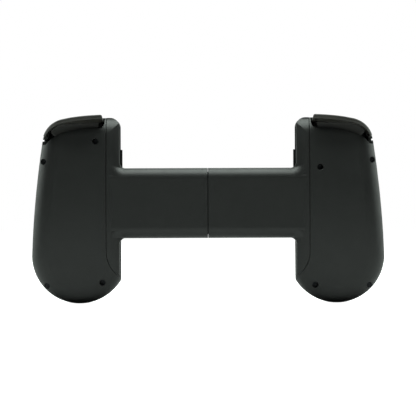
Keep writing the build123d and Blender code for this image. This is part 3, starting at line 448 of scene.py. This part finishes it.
class ControllerFinishes(bpy.types.PropertyGroup):
    """Colours and finishes of the plastic parts."""

    shell_colour: bpy.props.FloatVectorProperty(
        name="Shell Colour", description="Base colour of the moulded shells", subtype="COLOR",
        size=3, min=0, max=1, default=linear("#0a0b0a"),
    )
    shell_worn: bpy.props.FloatVectorProperty(
        name="Shell Patches", description="Slightly lighter colour in the shells' broad patches",
        subtype="COLOR", size=3, min=0, max=1, default=linear("#0e0f0e"),
    )
    shell_roughness: bpy.props.FloatProperty(
        name="Shell Roughness", description="Roughness of the moulded shells", default=0.46,
        min=0, max=1, subtype="FACTOR",
    )
    trigger_colour: bpy.props.FloatVectorProperty(
        name="Trigger Colour", description="Base colour of the polished triggers", subtype="COLOR",
        size=3, min=0, max=1, default=linear("#2b2925"),
    )
    trigger_roughness: bpy.props.FloatProperty(
        name="Trigger Roughness", description="Roughness of the polished triggers", default=0.38,
        min=0, max=1, subtype="FACTOR",
    )
    button_colour: bpy.props.FloatVectorProperty(
        name="Button Colour", description="Base colour of the buttons and bumpers",
        subtype="COLOR", size=3, min=0, max=1, default=linear("#242524"),
    )


class ControllerDetails(bpy.types.PropertyGroup):
    """Sizes of the small details."""

    knurl_depth: bpy.props.FloatProperty(
        name="Knurl Depth", description="Depth of the notches round each stick cap",
        default=0.14 * MM, min=0, unit="LENGTH",
    )
    button_crown: bpy.props.FloatProperty(
        name="Button Crown", description="Height of the dome on each round button",
        default=0.45 * MM, min=0, unit="LENGTH",
    )
    rib_pitch: bpy.props.FloatProperty(
        name="Rib Pitch", description="Distance between the grooves of the phone pads",
        default=2.4 * MM, min=1 * MM, unit="LENGTH",
    )
    rib_depth: bpy.props.FloatProperty(
        name="Groove Depth", description="Depth of the grooves of the phone pads",
        default=0.25 * MM, min=0, unit="LENGTH",
    )


class ControllerStage(bpy.types.PropertyGroup):
    """Camera and light."""

    distance: bpy.props.FloatProperty(
        name="Camera Distance", description="From the camera to the middle of the controller",
        default=0.95, min=0.3, unit="LENGTH",
    )
    frame_width: bpy.props.FloatProperty(
        name="Framed Width", description="Width that the picture takes in at the grips' rim",
        default=0.208, min=0.05, unit="LENGTH",
    )
    top_light: bpy.props.FloatProperty(
        name="Top Light", description="Power of the long lamp overhead", default=24.0, min=0,
        unit="POWER",
    )
    side_light: bpy.props.FloatProperty(
        name="Side Lights", description="Power of each lamp at the sides", default=3.4, min=0,
        unit="POWER",
    )
    rear_light: bpy.props.FloatProperty(
        name="Rear Light", description="Power of the wide lamp behind the camera", default=1.6,
        min=0, unit="POWER",
    )
    fill: bpy.props.FloatProperty(
        name="Fill", description="Brightness of the room that the surfaces mirror", default=0.03,
        min=0, max=5,
    )


class CONTROLLER_OT_shells(bpy.types.Operator):
    """Finish the grips and the bridge"""

    bl_idname = "controller.shells"
    bl_label = "Shells"

    def execute(self, context):
        parts = ("rear_cover", "front_cover", "bridge_shell", "bridge_plate")
        dress([f"{side}_{part}" for side in SIDES for part in parts], "Textured_ABS")
        dress(("bridge_core", "core_cover"), "Glass_Filled_Nylon")
        dress([f"{side}_case_screws" for side in SIDES], "Black_Oxide_Steel")
        return {"FINISHED"}


class CONTROLLER_OT_triggers(bpy.types.Operator):
    """Finish the triggers and the bumpers"""

    bl_idname = "controller.triggers"
    bl_label = "Triggers"

    def execute(self, context):
        dress([f"{side}_trigger" for side in SIDES], "Polished_ABS")
        dress([f"{side}_bumper" for side in SIDES], "Satin_ABS")
        return {"FINISHED"}


class CONTROLLER_OT_sticks(bpy.types.Operator):
    """Build the stick caps"""

    bl_idname = "controller.sticks"
    bl_label = "Sticks"

    def execute(self, context):
        details = context.scene.controller_details
        inner = DOME_RADIUS - DOME_THICKNESS
        deg = 180 / pi
        under = arc(inner, asin(TUBE_RADIUS / inner) * deg, DOME_ANGLE, DOME_STEPS)
        over = arc(
            DOME_RADIUS, DOME_ANGLE, asin((NECK_RADIUS + 0.5) / DOME_RADIUS) * deg, DOME_STEPS
        )
        disc = CAP_TOP - CAP_HEIGHT
        # Radius and height of each point up the neck, round the rim and into the thumb's dish
        neck = [
            (NECK_RADIUS + 0.12, 11.2), (NECK_RADIUS, 11.7), (NECK_RADIUS, disc - 0.5),
            (NECK_RADIUS + 0.15, disc - 0.12), (NECK_RADIUS + 0.6, disc),
        ]
        rim = [
            (7.2, disc), (7.7, disc + 0.1), (8.05, disc + 0.35), (CAP_RADIUS, disc + 0.6),
            (CAP_RADIUS, disc + 0.85), (CAP_RADIUS, disc + 1.15), (8.08, disc + 1.45),
            (7.75, disc + 1.82), (7.3, CAP_TOP), (6.95, disc + 1.96), (6.6, disc + 1.76),
            (6.2, disc + 1.52),
        ]
        dish = [
            (5.2, disc + 1.44), (4.0, disc + 1.38), (2.6, disc + 1.34), (1.2, disc + 1.31),
            (0, disc + 1.3),
        ]
        for side, (x, z) in STICKS.items():
            profile = [
                (0, BORE_TOP), (BORE_RADIUS, BORE_TOP), (BORE_RADIUS, TUBE_FOOT),
                (TUBE_RADIUS, TUBE_FOOT), *under, *over, *neck, *rim, *dish,
            ]
            shape = turned(profile, x, STICK_PIVOT_Y, z, CAP_STEPS)
            axis = Vector((x * MM, 0, z * MM))
            for vert in shape.verts:
                out = Vector((vert.co.x, 0, vert.co.z)) - axis
                height = vert.co.y / MM - STICK_PIVOT_Y - disc
                on_rim = out.length > (CAP_RADIUS - KNURL_REACH) * MM
                if on_rim and KNURL_LOW < height < KNURL_HIGH:
                    turn = Vector((1, 0, 0)).angle(out) / (2 * pi) * CAP_STEPS
                    if round(turn) % KNURL_STEPS < KNURL_STEPS / 2:
                        vert.co -= out.normalized() * details.knurl_depth
            add_piece(
                f"{side}_thumb_cap", shape, f"{side}_stick_cap",
                "Thumb_Silicone", (f"{side}_stick_cap",),
            )
        parts = ("stick_base", "stick_yoke", "stick_gimbal")
        dress([f"{side}_{part}" for side in SIDES for part in parts], "Glass_Filled_Nylon")
        return {"FINISHED"}


class CONTROLLER_OT_buttons(bpy.types.Operator):
    """Build the round buttons and finish the direction pad"""

    bl_idname = "controller.buttons"
    bl_label = "Buttons"

    def execute(self, context):
        crown = context.scene.controller_details.button_crown / MM
        buttons = [
            (f"{name}_face_button", place, FACE_BUTTON_RADIUS, FACE_BUTTON_TOP)
            for name, place in FACE_BUTTONS.items()
        ]
        buttons += [
            (name, place, SMALL_BUTTON_RADIUS, SMALL_BUTTON_TOP)
            for name, place in SMALL_BUTTONS.items()
        ]
        for name, (x, z), radius, top in buttons:
            rise = crown * radius / FACE_BUTTON_RADIUS
            flat = radius - CROWN_EDGE
            dome = [
                (flat - flat * i / CROWN_STEPS, top - rise * (1 - i / CROWN_STEPS) ** 2)
                for i in range(CROWN_STEPS + 1)
            ]
            # Radius and height up the stem, round the flange, up the wall and over the crown
            profile = [
                (0, STEM_LOW_Y), (STEM_RADIUS - STEM_BEVEL, STEM_LOW_Y),
                (STEM_RADIUS, STEM_LOW_Y + STEM_BEVEL), (STEM_RADIUS, FLANGE_LOW_Y),
                (radius + FLANGE_REACH, FLANGE_LOW_Y), (radius + FLANGE_REACH, FLANGE_TOP_Y),
                (radius, FLANGE_TOP_Y), (radius, top - rise - 0.55),
                (radius - 0.07, top - rise - 0.3), (radius - 0.24, top - rise - 0.1), *dome,
            ]
            add_piece(
                f"{name}_cap", turned(profile, x, 0, z, BUTTON_STEPS), name,
                "Satin_ABS", (name,),
            )
        dress(("dpad_cross",), "Satin_ABS")
        dress(("dpad_plate",), "Glass_Filled_Nylon")
        dress(("status_light",), "Frosted_Polycarbonate")
        dress([f"{side}_button_membrane" for side in SIDES], "Keypad_Silicone")
        return {"FINISHED"}


class CONTROLLER_OT_pads(bpy.types.Operator):
    """Build the grooved pads that hold the phone"""

    bl_idname = "controller.pads"
    bl_label = "Phone Pads"

    def execute(self, context):
        details = context.scene.controller_details
        pitch = details.rib_pitch
        for side, hand in SIDES.items():
            whole = bmesh.new()
            for low, high in PAD_SPANS[side]:
                size = (PAD_OUTER_X - PAD_INNER_X, PAD_HIGH_Y - PAD_LOW_Y, high - low)
                middle = (
                    hand * (PAD_OUTER_X + PAD_INNER_X) / 2, (PAD_HIGH_Y + PAD_LOW_Y) / 2,
                    (low + high) / 2,
                )
                block = bmesh.ops.create_cube(whole, size=1.0)["verts"]
                scale = Matrix.Diagonal((*[s * MM for s in size], 1))
                place = Matrix.Translation(Vector(middle) * MM) @ scale
                bmesh.ops.transform(whole, matrix=place, verts=block)
                grooves, start = groove_run(low, high, pitch)
                for i in range(grooves):
                    for edge in (-GROOVE_HALF, GROOVE_HALF):
                        bmesh.ops.bisect_plane(
                            whole, geom=whole.verts[:] + whole.edges[:] + whole.faces[:],
                            plane_co=(0, 0, start + (i + edge) * pitch), plane_no=(0, 0, 1),
                        )
            chosen = [f for f in whole.faces if in_groove(f, hand, PAD_SPANS[side], pitch)]
            bmesh.ops.inset_individual(
                whole, faces=chosen, thickness=GROOVE_SLOPE * MM, depth=-details.rib_depth,
                use_even_offset=True,
            )
            add_piece(
                f"{side}_ribbed_pad", whole, f"{side}_half", "TPE_Rubber",
                (f"{side}_cradle_pad",),
            )
        return {"FINISHED"}


class CONTROLLER_OT_springs(bpy.types.Operator):
    """Wind the bridge springs and the trigger springs"""

    bl_idname = "controller.springs"
    bl_label = "Springs"

    def execute(self, context):
        for side, hand in SIDES.items():
            ends = [hand * x for x in SPRING_ENDS]
            z = BRIDGE_Z + hand * SPRING_RISE
            wound = coil(
                ends[0] + hand * SPRING_LEAD, ends[1] - hand * SPRING_LEAD, SPRING_Y, z,
                SPRING_RADIUS, SPRING_WIRE, SPRING_TURNS, flip=hand,
            )
            for near, inward in ((ends[0], 1), (ends[1], -1)):
                leg = bmesh.ops.create_cone(
                    wound, cap_ends=True, segments=LEG_SIDES, radius1=SPRING_WIRE / 2 * MM,
                    radius2=SPRING_WIRE / 2 * MM, depth=SPRING_LEG * MM,
                )["verts"]
                middle = (near + hand * inward * SPRING_LEG / 2, SPRING_Y, z)
                place = Matrix.Translation(Vector(middle) * MM) @ Matrix.Rotation(pi / 2, 4, "Y")
                bmesh.ops.transform(wound, matrix=place, verts=leg)
            piece = add_piece(
                f"{side}_bridge_spring", wound, None, "Spring_Steel",
                (f"{side}_slide_spring",),
            )
            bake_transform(piece)
            y, z = TRIGGER_PIN
            low, high = [hand * x for x in TRIGGER_SPRING_X]
            wound = coil(low, high, y, z, TRIGGER_COIL_RADIUS, TRIGGER_WIRE, TRIGGER_TURNS)
            add_piece(
                f"{side}_torsion_spring", wound, f"{side}_half",
                "Spring_Steel", (f"{side}_trigger_spring",),
            )
        dress([f"{side}_trigger_pin" for side in SIDES], "Spring_Steel")
        return {"FINISHED"}


class CONTROLLER_OT_inside(bpy.types.Operator):
    """Finish the boards, sockets and cable"""

    bl_idname = "controller.inside"
    bl_label = "Boards and Sockets"

    def execute(self, context):
        dress([f"{side}_circuit_board" for side in SIDES], "FR4_Solder_Mask")
        dress([f"{side}_bumper_switch" for side in SIDES], "Glass_Filled_Nylon")
        dress(("headphone_jack", "plug_carrier"), "Glass_Filled_Nylon")
        dress(("charge_port", "phone_plug"), "Nickel_Plate")
        dress(("flex_cable",), "Polyimide_Film")
        return {"FINISHED"}


class CONTROLLER_OT_stage(bpy.types.Operator):
    """Set the floor, the lamps, the room and the camera"""

    bl_idname = "controller.stage"
    bl_label = "Stage"

    def execute(self, context):
        stage = context.scene.controller_stage
        floor_shape = bmesh.new()
        bmesh.ops.create_circle(
            floor_shape, cap_ends=True, radius=FLOOR_RADIUS, segments=FLOOR_SIDES
        )
        mesh = bpy.data.meshes.new("Paper_Floor")
        floor_shape.to_mesh(mesh)
        floor_shape.free()
        # White paper: matt and even, and plain white where the camera sees it
        paper, tree, shader, place = blank_material("White_Paper")
        tone = blend_colours(
            tree, noise(tree, place, 40.0, 3.0), linear("#c6c6c6"), linear("#c2c2c2")
        )
        tree.links.new(tone, shader.inputs["Base Color"])
        shader.inputs["Roughness"].default_value = 0.9
        shader.inputs["Specular IOR Level"].default_value = 0.1
        shader.inputs["Emission Color"].default_value = WHITE
        seen = put(tree, "ShaderNodeLightPath").outputs["Is Camera Ray"]
        tree.links.new(seen, shader.inputs["Emission Strength"])
        mesh.materials.append(paper)
        floor = bpy.data.objects.new("Paper_Floor", mesh)
        context.scene.collection.objects.link(floor)

        for name, power, place, size in LAMPS:
            data = bpy.data.lights.new(name, "AREA")
            data.shape, data.energy, data.color = "RECTANGLE", getattr(stage, power), LAMP_TINT
            data.size, data.size_y = size
            lamp = bpy.data.objects.new(name, data)
            lamp.location = place
            toward = Vector(LAMP_AIM) - Vector(place)
            lamp.rotation_euler = toward.to_track_quat("-Z", "Y").to_euler()
            context.scene.collection.objects.link(lamp)

        world = bpy.data.worlds.new("Studio")
        world.use_nodes = True
        tree = world.node_tree
        tree.nodes.clear()
        room = put(tree, "ShaderNodeBackground", {"Color": WHITE, "Strength": stage.fill})
        backdrop = put(tree, "ShaderNodeBackground", {"Color": WHITE, "Strength": 1.0})
        seen = put(tree, "ShaderNodeLightPath").outputs["Is Camera Ray"]
        both = put(
            tree, "ShaderNodeMixShader",
            links={0: seen, 1: room.outputs[0], 2: backdrop.outputs[0]},
        )
        put(tree, "ShaderNodeOutputWorld", links={"Surface": both.outputs[0]})
        context.scene.world = world
        context.scene.view_settings.view_transform = "Standard"

        data = bpy.data.cameras.new("Camera")
        camera = bpy.data.objects.new("Camera", data)
        camera.location = (0, -stage.distance, CAMERA_HEIGHT)
        camera.rotation_euler = Euler((radians(90), radians(CAMERA_ROLL), 0))
        data.lens = data.sensor_width * stage.distance / stage.frame_width
        data.clip_start, data.clip_end = CAMERA_CLIP
        context.scene.collection.objects.link(camera)
        context.scene.camera = camera
        return {"FINISHED"}


OPERATORS = (
    CONTROLLER_OT_shells, CONTROLLER_OT_triggers, CONTROLLER_OT_sticks, CONTROLLER_OT_buttons,
    CONTROLLER_OT_pads, CONTROLLER_OT_springs, CONTROLLER_OT_inside, CONTROLLER_OT_stage,
)


class CONTROLLER_PT_panel(bpy.types.Panel):
    """Lists the pieces and their settings"""

    bl_idname = "CONTROLLER_PT_panel"
    bl_label = "Phone Game Controller"
    bl_space_type = "VIEW_3D"
    bl_region_type = "UI"
    bl_category = "Controller"

    def draw(self, context):
        for name, group in PROPERTY_GROUPS:
            box = self.layout.box()
            for key in group.__annotations__:
                box.prop(getattr(context.scene, name), key)
        for operator in OPERATORS:
            self.layout.operator(operator.bl_idname)


PROPERTY_GROUPS = (
    ("controller_finishes", ControllerFinishes), ("controller_details", ControllerDetails),
    ("controller_stage", ControllerStage),
)


def register():
    for name, group in PROPERTY_GROUPS:
        bpy.utils.register_class(group)
        setattr(bpy.types.Scene, name, bpy.props.PointerProperty(type=group))
    for item in (*OPERATORS, CONTROLLER_PT_panel):
        bpy.utils.register_class(item)


def unregister():
    for item in reversed((*OPERATORS, CONTROLLER_PT_panel)):
        bpy.utils.unregister_class(item)
    for name, group in reversed(PROPERTY_GROUPS):
        delattr(bpy.types.Scene, name)
        bpy.utils.unregister_class(group)


def main():
    register()
    for operator in OPERATORS:
        group, name = operator.bl_idname.split(".")
        getattr(getattr(bpy.ops, group), name)()


if __name__ == "__main__":
    main()
